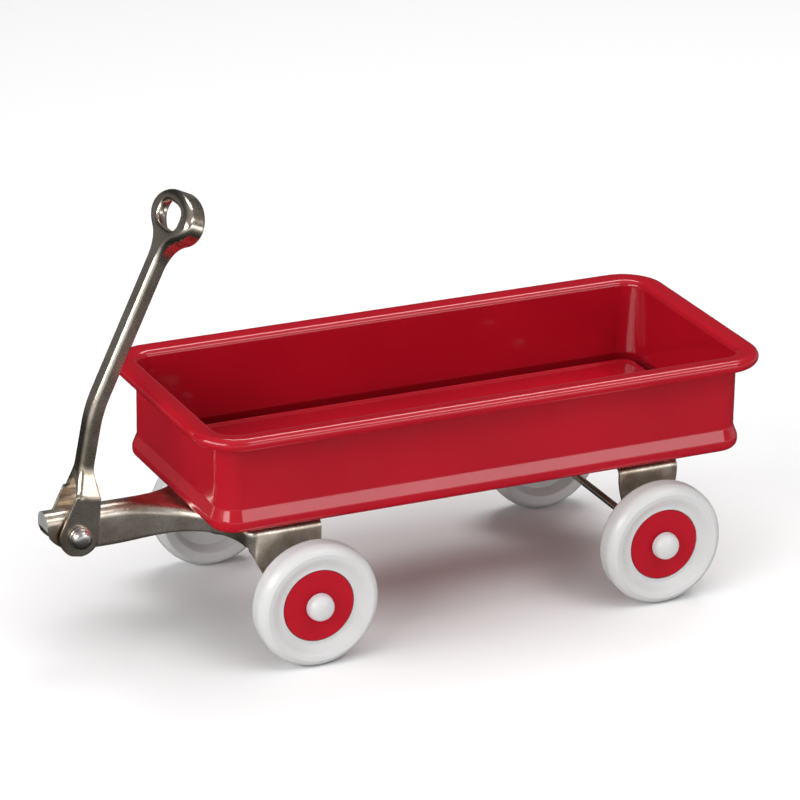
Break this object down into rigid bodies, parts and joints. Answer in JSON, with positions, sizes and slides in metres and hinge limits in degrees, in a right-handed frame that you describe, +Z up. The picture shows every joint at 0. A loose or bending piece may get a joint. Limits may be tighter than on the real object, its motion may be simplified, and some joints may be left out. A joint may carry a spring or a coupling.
{
  "type": "kids pull wagon",
  "caption": "Toy pull wagon with a deep rolled-rim steel tray, steering front bolster, tilting pull handle with a finger loop, and dished disc wheels.",
  "frame": {"origin": "on the ground under the centre of the whole object's bounding box", "axes": "+Z up, +X across the width to the right when looking from the handle end towards the tail, +Y from the handle end towards the tail"},
  "size_m": [0.1626, 0.3804, 0.2367],
  "materials": {
    "red_enamel": "high-gloss red enamel over steel",
    "white_plastic": "smooth glossy white moulding",
    "nickel_plate": "satin bright-plated pressed steel",
    "bright_steel": "smooth bright-plated rivets and washers",
    "black_nylon": "matte black wear washer"
  },
  "bodies": {
    "chassis": {"tray": "red_enamel", "rear_bracket": "nickel_plate", "rear_rivet_left": "bright_steel", "rear_rivet_right": "bright_steel", "rear_axle": "nickel_plate", "turntable_plate": "nickel_plate", "turntable_rivet_left": "bright_steel", "turntable_rivet_right": "bright_steel", "kingpin": "bright_steel", "rear_left_thrust_washer": "bright_steel", "rear_right_thrust_washer": "bright_steel", "rear_left_push_cap": "white_plastic", "rear_right_push_cap": "white_plastic"},
    "steering": {"tongue_bolster": "nickel_plate", "swivel_washer": "black_nylon", "kingpin_washer": "bright_steel", "front_axle": "nickel_plate", "front_left_thrust_washer": "bright_steel", "front_right_thrust_washer": "bright_steel", "front_left_push_cap": "white_plastic", "front_right_push_cap": "white_plastic"},
    "handle": {"handle": "nickel_plate", "handle_pin": "bright_steel", "handle_washer_left": "bright_steel", "handle_washer_right": "bright_steel"},
    "front_left_wheel": {"front_left_wheel": "white_plastic", "front_left_hub_disc": "red_enamel"},
    "front_right_wheel": {"front_right_wheel": "white_plastic", "front_right_hub_disc": "red_enamel"},
    "rear_left_wheel": {"rear_left_wheel": "white_plastic", "rear_left_hub_disc": "red_enamel"},
    "rear_right_wheel": {"rear_right_wheel": "white_plastic", "rear_right_hub_disc": "red_enamel"}
  },
  "joints": [
    {"name": "steering_turn", "type": "hinge", "parent": "chassis", "child": "steering", "pos_m": [0, -0.06975, 0.0715], "axis": [0, 0, 1], "range_deg": [-35, 35]},
    {"name": "handle_tilt", "type": "hinge", "parent": "steering", "child": "handle", "pos_m": [0, -0.17405, 0.0633], "axis": [1, 0, 0], "range_deg": [-5, 120]},
    {"name": "front_left_wheel_spin", "type": "hinge", "parent": "steering", "child": "front_left_wheel", "pos_m": [-0.0692, -0.06975, 0.0334], "axis": [1, 0, 0], "continuous": true},
    {"name": "front_right_wheel_spin", "type": "hinge", "parent": "steering", "child": "front_right_wheel", "pos_m": [0.0692, -0.06975, 0.0334], "axis": [1, 0, 0], "continuous": true},
    {"name": "rear_left_wheel_spin", "type": "hinge", "parent": "chassis", "child": "rear_left_wheel", "pos_m": [-0.0692, 0.12825, 0.0334], "axis": [1, 0, 0], "continuous": true},
    {"name": "rear_right_wheel_spin", "type": "hinge", "parent": "chassis", "child": "rear_right_wheel", "pos_m": [0.0692, 0.12825, 0.0334], "axis": [1, 0, 0], "continuous": true}
  ]
}
